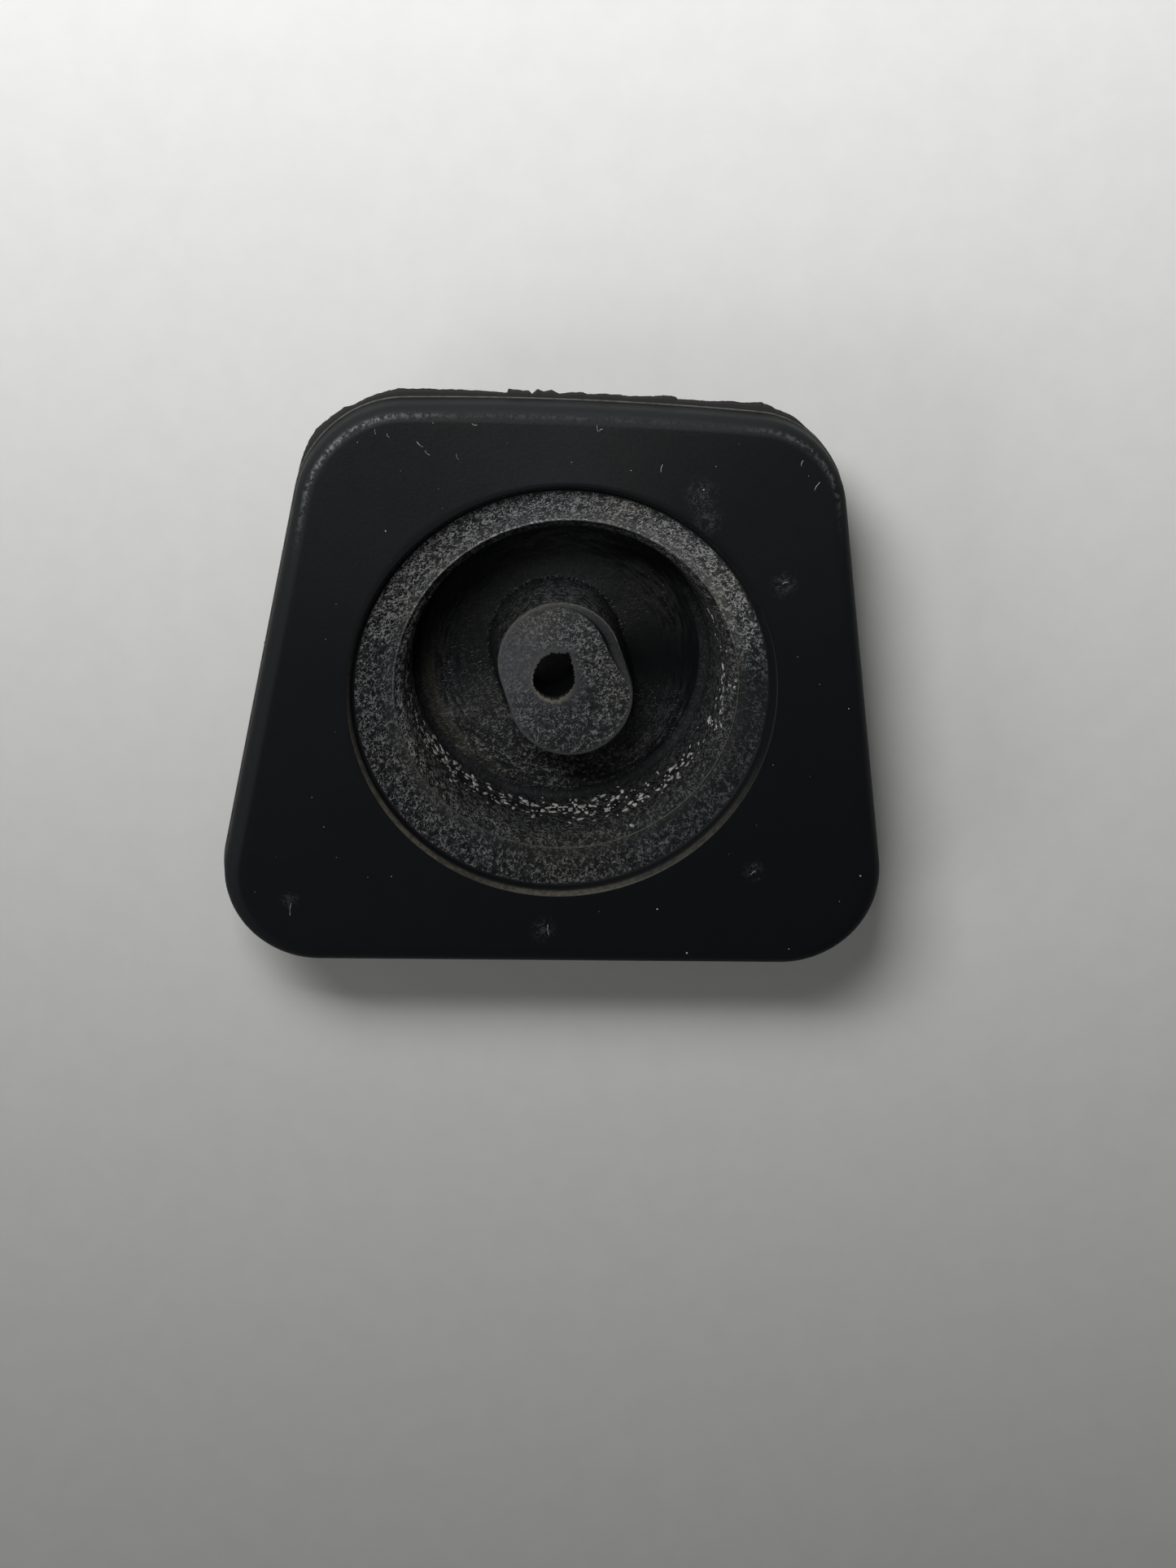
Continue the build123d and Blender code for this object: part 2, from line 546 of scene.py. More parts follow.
def torn_ring(sizes):
    """The hole's torn rim: a blunt, uneven opening with a corner and a notch."""
    usual_radius = 2.6
    marks = [
        (2.58, 0.1), (2.5, 0.62), (2.42, 1.3), (2.15, 2.0), (1.95, 3.25), (1.0, 3.18),
        (-0.5, 3.2), (-1.0, 2.8), (-1.5, 2.62), (-2.1, 1.7), (-2.45, 0.89), (-2.62, 0.0),
        (-2.59, -0.89), (-2.3, -1.6), (-1.84, -2.08), (-1.3, -2.6), (-0.72, -2.8),
        (-0.1, -3.0), (0.6, -2.95), (1.1, -2.6), (1.53, -2.38), (2.0, -1.8), (2.46, -1.1),
        (2.62, -0.5),
    ]
    path = np.array(marks) * MM
    closed = np.vstack([path, path[:1]])
    shares = np.linspace(0, 1, 12)[:-1, None]
    run = [first + (last - first) * shares for first, last in zip(closed, closed[1:])]
    ring = at_angles(np.concatenate(run), ANGLES)
    wave = 0.05 * np.sin(23 * ANGLES + 1) + 0.04 * np.sin(41 * ANGLES)
    wave += 0.03 * np.sin(67 * ANGLES + 2)
    ring *= (1 + wave / usual_radius)[:, None]
    return np.array(sizes.hole_centre) + ring


def rounded_profile(corners, rounds, spacing):
    """A run of radius and height pairs through corners, with some of them rounded."""
    arc_points = 9
    corners = [np.array(corner) for corner in corners]
    run = [corners[0]]
    for index in range(1, len(corners) - 1):
        here = corners[index]
        radius = rounds.get(index, 0)
        if not radius:
            run.append(here)
            continue
        back = corners[index - 1] - here
        onward = corners[index + 1] - here
        back /= np.linalg.norm(back)
        onward /= np.linalg.norm(onward)
        half = math.acos(back @ onward) / 2
        middle = (back + onward) / np.linalg.norm(back + onward)
        centre = here + middle * radius / math.sin(half)
        first = here + back * radius / math.tan(half) - centre
        last = here + onward * radius / math.tan(half) - centre
        start = math.atan2(first[1], first[0])
        turn = (math.atan2(last[1], last[0]) - start + math.pi) % TAU - math.pi
        for share in np.linspace(0, 1, arc_points):
            spoke = start + turn * share
            run.append(centre + radius * np.array([math.cos(spoke), math.sin(spoke)]))
    run.append(corners[-1])
    dense = [run[0]]
    for first, last in zip(run, run[1:]):
        count = max(1, round(float(np.linalg.norm(last - first)) / spacing))
        dense.extend(first + (last - first) * share for share in np.arange(1, count + 1) / count)
    return dense


class Loft:
    """Rings of points, each with numbers for the finish, joined into one closed skin."""

    # The bloom mark holds dust and also painted light and shade; the wear mark holds dotted wear and
    # painted highlights; the torn mark also holds painted highlights and lit walls
    MARKS = ("bloom", "grain", "rings", "gloss", "torn", "scuff", "fleck", "wear", "relief")

    def __init__(self):
        self.rings = []
        self.marks = {name: [] for name in self.MARKS}

    def ring(self, outline, height, **marks):
        """Adds a ring at a height, with its marks."""
        heights = np.broadcast_to(height, (TURNS,))
        self.rings.append(np.column_stack([outline, heights]))
        for name in self.MARKS:
            self.marks[name].append(np.broadcast_to(marks.get(name, 0.0), (TURNS,)))

    def between(self, start, end, low, high, shares, marks_at=lambda share: {}):
        """Adds rings between two outlines and heights, at shares of the way."""
        for share in shares:
            outline = start + (end - start) * share
            self.ring(outline, low + (high - low) * share, **marks_at(share))

    def piece(self, name):
        """The closed skin as an object."""
        faces = skin_faces(len(self.rings), TURNS, closed=True)
        made = new_piece(name, np.vstack(self.rings), faces)
        for mark, numbers in self.marks.items():
            keep(made.data, mark, np.concatenate(numbers))
        made.data.set_sharp_from_angle(angle=math.radians(42))
        return made


def loft_hole(loft, boss):
    """The cable hole, from the pocket's roof up to its torn rim."""
    top = FACE_HEIGHT - boss.top_depth
    bottom = top - boss.hole_length
    bore = round_ring(boss.hole_radius, boss.hole_centre)
    torn = torn_ring(boss)
    for share in np.linspace(0, 1, 6):
        height = bottom + (top - boss.tear_depth - bottom) * share
        loft.ring(bore, height, relief=0.3, gloss=1.0)
    # A pale colour on the hole's wall on the wide-left side, which faces the lamp, strongest at the
    # torn top: painted light
    pale = facing(238, 105)
    ledge = facing(85, 50)
    for share in (0.2, 0.4, 0.6, 0.78, 0.92):
        opened = bore + (torn - bore) * share**1.7
        height = top - boss.tear_depth * (1 - share)
        painted_lit_wall = pale * max(0, share - 0.6) * 2
        dust = 0.08 * ledge * share
        loft.ring(opened, height, relief=0.5, torn=painted_lit_wall, bloom=dust, gloss=0.6)
    loft.ring(torn, top, torn=1.3 * pale, bloom=0.2, relief=0.2)


def loft_boss(loft, boss, recess):
    """The boss's face, its smooth rim and its flank, with painted shade in the rim's crescent and a
    painted highlight along the rim.
    """
    top = FACE_HEIGHT - boss.top_depth
    rim_width = (0.28 + 1.2 * facing(45, 66)) * MM
    outline = boss_ring(boss, 0.0)
    middle = outline.mean(axis=0)
    reach = np.linalg.norm(outline - middle, axis=1)
    face_edge = middle + (outline - middle) * (1 - rim_width / reach)[:, None]
    torn = torn_ring(boss)
    dust = around(0.13, 0.145, 0.18, 0.195, 0.19, 0.155, 0.11, 0.115)
    # A pale ring round the hole's lip on the wide-left side, which faces the lamp: painted light
    pale = facing(230, 130)
    for share, level in ((0.025, 1.3), (0.06, 0.7), (0.08, 0.0)):
        lip = torn + (face_edge - torn) * share
        loft.ring(lip, top + 0.04 * MM, torn=level * pale, bloom=dust, relief=0.3)
    coarse = 0.75 * (1 - facing(160, 125))
    for share in np.linspace(0.12, 0.97, 18):
        outline_now = torn + (face_edge - torn) * share
        worn = coarse * smooth(share, 0.0, 0.35)
        loft.ring(outline_now, top, bloom=dust, grain=0.15 + worn, relief=0.3 + 0.7 * worn)
    # Painted shade: towards the narrow-right side the rim's bloom is lowered, making a dark crescent
    groove = facing(48, 70)
    loft.ring(face_edge, top - 0.3 * MM * groove, bloom=dust * (1 - groove), relief=0.2)
    low = top - 0.5 * boss.chamfer
    for share, drop in ((0.2, 0.0), (0.45, 0.05), (0.7, 0.12), (0.86, 0.3)):
        outline_now = face_edge + (outline - face_edge) * share
        level = 1 - groove * (0.92 - 0.5 * share)
        loft.ring(outline_now, top + (low - top) * drop, bloom=level * dust, grain=0.1)
    # A pale line along the boss's rim, strongest at the narrow side: painted highlight with some wear
    line = 0.25 + 0.75 * facing(85, 110)
    loft.ring(outline, low + 0.03 * MM, bloom=dust, wear=line, torn=1.3 * line)
    loft.ring(outline, low - 0.1 * MM, bloom=dust, torn=0.5 * line)
    start = top - boss.chamfer
    valley_floor = FACE_HEIGHT - recess.valley_depth
    lean = math.tan(boss.flare)
    flank = around(0.004, 0.05, 0.10, 0.05, 0.01, 0.012, 0.01, 0.006)
    for share in np.linspace(0, 1, 20):
        height = start + (valley_floor - start) * share
        grown = boss_ring(boss, lean * (top - height))
        rub = flank * (1 - 0.6 * share)
        loft.ring(grown, height, bloom=rub, grain=0.8, gloss=0.8, relief=0.4 + 0.6 * share)


def funnel_corners(recess):
    """Radius and height of the funnel's ridge, its shoulder and its wall's foot."""
    step_foot = FACE_HEIGHT - recess.step_depth
    ridge = (recess.ridge_radius, step_foot - recess.ridge_drop)
    shoulder = (ridge[0] - recess.shoulder_run, ridge[1] - recess.shoulder_drop)
    foot = (shoulder[0] - recess.wall_run, FACE_HEIGHT - recess.valley_depth)
    return ridge, shoulder, foot


def loft_valley(loft, boss, recess):
    """The valley floor, grained at the wide side, with painted light and shade: pale where the lamp
    falls on the wide side, dark at the right and towards the wall's foot.
    """
    foot = funnel_corners(recess)[2]
    level = foot[1]
    boss_height = FACE_HEIGHT - boss.top_depth - level
    boss_foot = boss_ring(boss, math.tan(boss.flare) * boss_height)
    floor_edge = round_ring(foot[0] - VALLEY_EDGE, (recess.offset, 0.0))
    # Partly dust, partly painted light and shade: raised on the wide side where the lamp falls past the
    # boss, near nothing at the right in the shade, and lowered towards the wall's foot
    dust = around(0.003, 0.036, 0.055, 0.042, 0.032, 0.09, 0.115, 0.055)
    stain = 0.25 * facing(205, 55)
    loft.between(
        boss_foot, floor_edge, level, level, np.linspace(0.06, 1, 14),
        lambda share: {
            "bloom": dust * (1 - 0.6 * smooth(share, 0.75, 1)),
            "grain": 0.1 + 0.9 * facing(262, 100),
            "rings": smooth(share, 0.3, 0.8),
            "gloss": 1 - 0.8 * facing(262, 75),
            "torn": stain * (share > 0.85),
            "relief": 0.8,
        },
    )


def loft_wall(loft, recess):
    """The sleeve wall and its shoulder, dusty, with crumbs where they have gathered, and with painted
    light and shade: dark at the foot and under the narrow side, pale on the left.
    """
    axis = (recess.offset, 0.0)
    ridge, shoulder, foot = funnel_corners(recess)
    # Partly dust, partly painted light and shade: raised strongly on the left, where the lamp leaves
    # the wall in shade, and kept low under the narrow side so that its wall stays dark
    dust = around(0.075, 0.08, 0.05, 0.10, 0.48, 0.12, 0.06, 0.05)
    crumbs = around(0.25, 0.0, 0.0, 0.0, 0.6, 1.0, 0.9, 0.5)
    gathered = around(0.85, 0.7, 0.5, 0.5, 0.65, 0.38, 0.33, 0.55)
    corners = [(foot[0] - VALLEY_EDGE, foot[1]), foot, shoulder, ridge]
    rounds = {1: recess.valley_corner, 2: recess.shoulder_round}
    for radius, height in rounded_profile(corners, rounds, 0.38 * MM)[1:-1]:
        share = (height - foot[1]) / (shoulder[1] - foot[1])
        # Painted shade: the bloom falls away towards the wall's foot, so the crease there stays dark
        bloom = 0.012 + dust * smooth(share, 0.04, 0.2) * (0.5 + 0.5 * smooth(share, 0.4, 1.0))
        fleck = crumbs * np.exp(-(((share - gathered) / 0.2) ** 2)) * smooth(share, 0.03, 0.12)
        dull = -1.5 * (1 - float(smooth(share, 0.0, 0.2)))
        loft.ring(
            round_ring(radius, axis), height,
            bloom=bloom * (1 - 0.9 * fleck), grain=1.0, scuff=0.45 * fleck, fleck=fleck,
            gloss=dull, relief=0.8,
        )


def loft_land(loft, recess):
    """The ridge with its pale crest, a painted highlight, and the dusty land up to the step, whose
    bloom also holds painted light and shade.
    """
    axis = (recess.offset, 0.0)
    ridge = funnel_corners(recess)[0]
    step_foot = FACE_HEIGHT - recess.step_depth
    land_edge = round_ring(recess.radius - recess.step_run)
    # Partly dust, partly painted light: the land is far paler at the narrow side and its right corner,
    # where the light falls most, than at the right and wide sides
    dust = around(0.035, 0.56, 0.46, 0.38, 0.155, 0.125, 0.095, 0.055)
    # Pale colour on the ridge's crest, strongest on the wide and right sides: a painted highlight of
    # the edge catching the light
    crest = around(0.6, 0.1, 0.2, 0.0, 0.25, 0.5, 0.8, 0.8)
    for aside, lift, level in ((-0.16, -0.02, 0.0), (0.0, 0.12, 1.0), (0.16, 0.0, 0.0)):
        outline = round_ring(ridge[0] + aside * MM, axis)
        marks = {"bloom": dust, "torn": level * crest, "grain": 0.5}
        loft.ring(outline, ridge[1] + lift * MM, **marks)
    start = round_ring(ridge[0] + 0.1 * MM, axis)
    # Painted shade: the bloom fades near the step on the narrow-right side, and in a band just outside
    # the ridge on the wide side
    shaded = facing(60, 100)
    coarse = 1 - 0.22 * facing(80, 80)
    painted_shade_by_ridge = facing(265, 80)
    loft.between(
        start, land_edge, ridge[1] + 0.03 * MM, step_foot, np.linspace(0.08, 0.92, 13),
        lambda share: {
            "bloom": dust
            * (1 - 0.75 * shaded * smooth(share, 0.65, 0.97))
            * (1 - 0.45 * painted_shade_by_ridge * (1 - smooth(share, 0.05, 0.3))),
            "grain": coarse * (0.6 + 0.4 * smooth(share, 0.1, 0.4)),
            "gloss": -1.7,
            "relief": 0.35,
        },
    )


def loft_step(loft, recess):
    """The crease at the step's foot, left black as painted shade, and the step with a pale band painted
    on its wall where it faces the lamp.
    """
    step_foot = FACE_HEIGHT - recess.step_depth
    crease = round_ring(recess.radius - recess.step_run - 0.25 * MM)
    foot = round_ring(recess.radius - recess.step_run)
    # These crease rings carry no bloom, so the crease stays black: painted shade
    loft.ring(crease, step_foot - 0.12 * MM)
    loft.ring(foot, step_foot - 0.1 * MM)
    # A pale band on the step's wall on the wide and left sides, which face the lamp: painted light
    pale = np.maximum(facing(215, 75), 0.8 * facing(268, 60))
    pale = np.maximum(pale, 0.4 * facing(310, 40))
    head = round_ring(recess.radius)
    loft.between(
        foot, head, step_foot, FACE_HEIGHT, (0.1, 0.25, 0.35, 0.6, 0.82),
        lambda share: {"torn": pale * smooth(share, 0.3, 0.6), "bloom": 0.01, "relief": 0.1},
    )
    loft.ring(round_ring(recess.radius - 0.02 * MM), FACE_HEIGHT - 0.08 * MM, torn=0.9 * pale)
    loft.ring(round_ring(recess.radius + 0.1 * MM), FACE_HEIGHT)


def loft_flange(loft, flange, recess):
    """The flange's face, rolled edge, parting line and underside."""
    loft.ring(round_ring(recess.radius + 0.16 * MM), FACE_HEIGHT)
    start = round_ring(recess.radius + 0.2 * MM)
    brink = flange_ring(flange, flange.roll)
    # A pale film on the face, thickest at the narrow side and its left corner, where the lamp stands:
    # painted light
    painted_light_film = around(0.0, 0.009, 0.035, 0.021, 0.004, 0.002, 0.0, 0.0)
    loft.between(
        start, brink, FACE_HEIGHT, FACE_HEIGHT, np.linspace(0.06, 1, 13),
        lambda share: {"bloom": painted_light_film},
    )
    # Dotted pale marks on the rolled edge where the lamp's highlight falls, brightest at the
    # narrow-left corner: painted highlight with some wear
    corner = np.maximum(facing(131, 24), 0.55 * facing(46, 16))
    along = np.maximum(0.12 * facing(100, 55), corner)
    for share in np.arange(1, 17) / 16:
        turn = share * math.pi / 2
        inset = flange.roll * (1 - math.sin(turn))
        height = FACE_HEIGHT - flange.roll * (1 - math.cos(turn))
        band = math.exp(-(((share - 0.3) / 0.09) ** 2))
        dull = -0.9 * float(smooth(share, 0.0, 0.25))
        # A soft pale band on the roll along the narrow side: painted highlight
        painted_roll_highlight = 0.05 * math.exp(-(((share - 0.3) / 0.18) ** 2)) * facing(95, 65)
        loft.ring(
            flange_ring(flange, inset), height,
            bloom=painted_light_film * (1 - share) + painted_roll_highlight, wear=band * along, gloss=dull, relief=0.1,
        )
    underside = FACE_HEIGHT - flange.thickness
    line = underside + flange.lower_chamfer + 0.12 * MM
    for height in np.linspace(FACE_HEIGHT - flange.roll - 0.4 * MM, line + 0.22 * MM, 5):
        loft.ring(flange_ring(flange, 0.0), height, gloss=-0.9, relief=0.15)
    # The proud parting line is coloured pale all round: a painted highlight of the edge catching the
    # light
    loft.ring(flange_ring(flange, -flange.parting), line + 0.08 * MM, torn=1.0)
    loft.ring(flange_ring(flange, -flange.parting), line, torn=1.0)
    loft.ring(flange_ring(flange, 0.0), line - 0.1 * MM)
    loft.ring(flange_ring(flange, flange.lower_chamfer), underside)


def loft_underside(loft, flange, recess, boss, neck):
    """The underside, the panel groove, the bead, the foot and the pocket."""
    axis = (recess.offset, 0.0)
    underside = FACE_HEIGHT - flange.thickness
    groove = recess.ridge_radius + neck.wall
    bead = groove + neck.bead
    foot = groove - neck.taper
    bead_top = underside - neck.groove
    pocket_roof = FACE_HEIGHT - boss.top_depth - boss.hole_length
    edge = flange_ring(flange, flange.lower_chamfer)
    loft.between(
        edge, round_ring(groove, axis), underside, underside, np.linspace(0.15, 1, 6)
    )
    inner_foot = foot - 3 * MM
    corners = [
        (groove, underside),
        (groove, bead_top),
        (bead, bead_top),
        (bead, bead_top - neck.bead_land),
        (foot, 0.0),
        (inner_foot, 0.0),
    ]
    for radius, height in rounded_profile(corners, {4: neck.foot_corner}, 1.4 * MM)[1:]:
        loft.ring(round_ring(radius, axis), height, relief=0.1)
    mouth = round_ring(boss.pocket_mouth, boss.hole_centre)
    inner = round_ring(inner_foot, axis)
    loft.between(inner, mouth, 0.0, 0.0, np.linspace(0.25, 1, 4))
    roof = round_ring(boss.pocket_top, boss.hole_centre)
    loft.between(mouth, roof, 0.0, pocket_roof, np.linspace(0.25, 1, 4))


def moulded_relief(material):
    """Geometry nodes that make a clean skin slightly uneven, as worn moulded rubber is."""
    inputs = {
        "Lump size": 1.3 * MM,
        "Lump height": 0.07 * MM,
        "Turning size": 0.9 * MM,
        "Turning height": 0.05 * MM,
        "Seed": 3.0,
    }
    grown = Growth("moulded_relief", material, inputs)
    where = grown.node("GeometryNodeInputPosition")
    seed = grown.input("Seed")
    lumps = grown.noise(grown.counted(where, "Lump size"), 1.0, 3.0, 0.6, seed) - 0.5
    level = grown.vector("MULTIPLY", where, (1, 1, 0))
    radius = grown.vector("LENGTH", level, output="Value")
    height = grown.node("ShaderNodeSeparateXYZ", (where,), 2)
    across = (radius + height) / grown.input("Turning size")
    along = grown.scaled(grown.vector("NORMALIZE", level), 2.0)
    path = grown.vector("ADD", along, grown.xyz(0.0, 0.0, across))
    turning = grown.noise(path, 1.0, 2.0, 0.5, seed) - 0.5
    rise = lumps * grown.input("Lump height") * 2 + turning * grown.input("Turning height") * 2
    amount = rise * grown.stored("relief")
    normal = grown.node("GeometryNodeInputNormal")
    grown.finish(grown.move(grown.geometry, grown.scaled(normal, amount)))
    return grown


# Smudges on the flange: each one's place and reach in millimetres
SMUDGES = [
    (15.6, 25.8, 2.8), (16.6, 22.6, 2.4), (26.3, 14.8, 2.2), (24.9, -22.7, 1.8),
    (-33.0, -27.5, 1.6), (-1.2, -31.0, 2.2),
]


def rubber_finish(finish, recess):
    """Black rubber: satin on the flange, dusty and grained in the recess, pale where torn, with painted
    light, shade and highlights carried by the bloom, wear and torn marks.
    """
    look = Finish("black_rubber")
    bloom, grained = look.stored("bloom"), look.stored("grain")
    torn, scuff, wear = look.stored("torn"), look.stored("scuff"), look.stored("wear")

    # Noise from fine to broad
    grain = look.noise(look.where, 0.38 * MM, 2.0, 0.6, 1.0)
    coarse = look.noise(look.where, 0.62 * MM, 2.0, 0.6, 7.0)
    clouds = look.noise(look.where, 3.5 * MM, 3.0, 0.6, 2.0)
    broad = look.noise(look.where, 14 * MM, 2.0, 0.5, 5.0)
    turned = look.streaks((recess.offset, 0.0), 0.42 * MM, 3.2 * MM, 3.0)
    strokes = look.strands(0.52 * MM, 0.11, 3.0)

    # How far dust covers the rubber, together with the painted light and shade that the bloom mark
    # holds
    gaps = look.rise(grain + 0.5 * coarse, 0.68, 0.84)
    even = 0.6 + 0.8 * grain
    broken = 0.02 + gaps * 0.35 + 4.8 * strokes
    dusty = even + (broken - even) * grained
    in_rings = 1 + (look.rise(turned, 0.36, 0.62) * 2 - 1) * look.stored("rings")
    specks = look.rise(grain, 0.68, 0.76) * 2.0
    sprinkled = specks * (0.3 + 0.7 * grained)
    cover = bloom * (dusty * in_rings + sprinkled) * (0.85 + 0.3 * clouds)

    # Colour: dust with painted light and shade, smudges, scuffed flecks, dotted wear with painted
    # highlights, and torn rubber with painted highlights and lit walls, one over the other
    tint = look.mix(look.rise(broad + 0.4 * clouds, 0.55, 0.85), finish.cool, finish.warm)
    base = look.mix(cover, finish.rubber, tint)
    smudged = sum(look.patch(*smudge) for smudge in SMUDGES)
    base = look.mix(smudged * 0.14 * strokes, base, finish.cool)
    flecks = look.rise(coarse * 0.7 + turned * 0.5, 0.68, 0.74) * scuff
    base = look.mix(flecks * 0.8, base, finish.scuff)
    # Dotted pale marks: wear, and painted highlights on the rolled edge, the boss's rim and the flash
    dotted = wear * look.rise(coarse * 0.5 + grain * 0.7, 0.52, 0.70)
    base = look.mix(dotted * 0.5, base, finish.scuff)
    # Pale colour of torn rubber, also painting highlights and lit walls
    ragged = torn * (0.55 + 0.45 * look.rise(coarse, 0.35, 0.6))
    base = look.mix(ragged, base, finish.torn)

    # Roughness and height
    dull = 0.50 + 0.35 * look.rise(bloom, 0.02, 0.08) + 0.06 * (clouds - 0.5)
    height = 0.4 * dusty * look.rise(bloom, 0.0, 0.03) + 0.8 * coarse * scuff + 0.08 * grain
    look.set(
        Base_Color=base,
        Roughness=dull - 0.2 * look.stored("gloss"),
        Specular_IOR_Level=0.33,
        Specular_Tint=(0.88, 0.94, 1.0, 1.0),
        Normal=look.bump(height, 0.11 * MM, 0.9),
    )
    return look.material


def make_body(scene):
    """Builds the moulding, roughens it and gives it the solid's place."""
    flange, recess = scene.grommet_flange, scene.grommet_recess
    boss, neck = scene.grommet_boss, scene.grommet_neck
    loft = Loft()
    loft_hole(loft, boss)
    loft_boss(loft, boss, recess)
    loft_valley(loft, boss, recess)
    loft_wall(loft, recess)
    loft_land(loft, recess)
    loft_step(loft, recess)
    loft_flange(loft, flange, recess)
    loft_underside(loft, flange, recess, boss, neck)
    body = loft.piece("moulding")
    moulded_relief(rubber_finish(scene.grommet_finish, recess)).apply(body)
    settle(body)
    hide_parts("grommet")


class GROMMET_OT_body(bpy.types.Operator):
    """Builds the one-piece rubber moulding"""

    bl_idname = "grommet.body"
    bl_label = "Moulding"

    def execute(self, context):
        make_body(context.scene)
        return {"FINISHED"}


def flash_reach(angles):
    """How far the flash stands out at each angle, from marks of degrees and millimetres."""
    marks = [
        (36, 0.0), (39, 0.22), (44, 0.16), (49, 0.22), (52, 0.6), (55, 0.7), (56.5, 1.18),
        (57.6, 1.3), (60, 1.03), (62, 1.08), (65, 0.85), (70.6, 0.78), (71, 0.98), (73.4, 1.14),
        (75, 0.86), (80.4, 0.72), (81, 0.86), (84, 0.86), (87.2, 0.72), (88, 0.9), (90, 0.9),
        (92.6, 0.62), (93.8, 1.08), (95.4, 0.86), (96.4, 1.12), (97.2, 0.7), (97.6, 0.5),
        (98.1, 0.92), (101.8, 1.05), (102.1, 0.6), (105, 0.72), (110, 0.9), (115, 1.05),
        (119.5, 1.1), (123, 0.8), (127, 0.48), (128.6, 0.8), (132, 0.8), (134, 0.94),
        (136, 0.82), (140, 0.32), (142.5, 0.06), (147, 0.03), (148.5, 0.14), (149.5, 0.02),
        (154, 0.02), (155, 0.18), (156, 0.02), (172, 0.0), (173, 0.2), (174.5, 0.0),
    ]
    turns, reach = zip(*marks)
    return np.interp(np.degrees(angles) % 360, turns, reach, left=0, right=0) * MM


def ragged_flash(material):
    """Geometry nodes that stretch the flash to its reach and leave its free edge uneven."""
    inputs = {"Tear size": 0.9 * MM, "Tear depth": 0.22, "Curl": 0.25, "Seed": 11.0}
    grown = Growth("ragged_flash", material, inputs)
    in_tears = grown.counted(grown.node("GeometryNodeInputPosition"), "Tear size")
    torn = grown.noise(in_tears, 1.0, 3.0, 0.6, grown.input("Seed")) - 0.5
    out = grown.stored("reach") * (1 + torn * grown.input("Tear depth") * 2)
    wave = grown.noise(in_tears, 2.5, 2.0, 0.5, grown.input("Seed") + 4) - 0.5
    curl = wave * grown.stored("reach") * grown.input("Curl")
    side = grown.scaled(grown.stored("outward", "FLOAT_VECTOR"), out)
    offset = grown.vector("ADD", side, grown.xyz(0.0, 0.0, curl))
    grown.finish(grown.move(grown.geometry, offset))
    return grown


def make_flash(flange):
    """Builds the thin torn fin along the flange's lower edge."""
    angles = np.radians(np.linspace(36, 176, 1500))
    root = flange_ring(flange, flange.flash_root, angles)
    edge = flange_ring(flange, 0.0, angles)
    outward = edge - root
    outward /= np.linalg.norm(outward, axis=1)[:, None]
    outward = np.column_stack([outward, np.zeros(len(angles))])
    level = FACE_HEIGHT - flange.thickness + 0.02 * MM
    thick = flange.flash_thickness
    section = ((root, 1.0), (edge, 0.95), (edge, 0.8), (edge, 0.2), (edge, 0.0), (root, 0.0))
    out = (0.0, 0.55, 1.0, 1.0, 0.55, 0.0)
    rows = []
    for ring, height in section:
        rows.append(np.column_stack([ring, np.full(len(angles), level + height * thick)]))
    points = np.stack(rows, axis=1).reshape(-1, 3)
    count, sides = len(angles), len(section)
    first_end = np.arange(sides)
    last_end = sides * count - 1 - first_end
    faces = [*skin_faces(count, sides, closed=False), first_end, last_end]
    flash = new_piece("flash", points, faces)
    reach = np.repeat(flash_reach(angles), sides)
    # A pale outer edge at the narrow side near the left corner: painted highlight, through the wear
    # mark
    pale = np.repeat(facing(113, 14, angles), sides) * np.tile([0, 0, 1, 0.4, 0, 0], count)
    marks = {
        "reach": np.tile(out, count) * reach,
        "wear": pale,
        "bloom": np.full(sides * count, 0.09),
        "grain": np.full(sides * count, 0.4),
        "outward": np.repeat(outward, sides, axis=0),
    }
    for mark, values in marks.items():
        keep(flash.data, mark, values)
    flash.data.set_sharp_from_angle(angle=math.radians(35))
    ragged_flash(bpy.data.materials["black_rubber"]).apply(flash)
    settle(flash)


class GROMMET_OT_flash(bpy.types.Operator):
    """Builds the ragged flash at the narrow side"""

    bl_idname = "grommet.flash"
    bl_label = "Flash"

    def execute(self, context):
        make_flash(context.scene.grommet_flange)
        return {"FINISHED"}


def dust_finish(name, pale):
    """Pale dust, crumbs and lint."""
    look = Finish(name)
    tint = look.noise(look.where, 0.8 * MM, 2.0, 0.5, 4.0)
    dull = [each * 0.4 for each in pale]
    look.set(Base_Color=look.mix(look.rise(tint, 0.35, 0.65), dull, pale), Roughness=0.9)
    return look.material


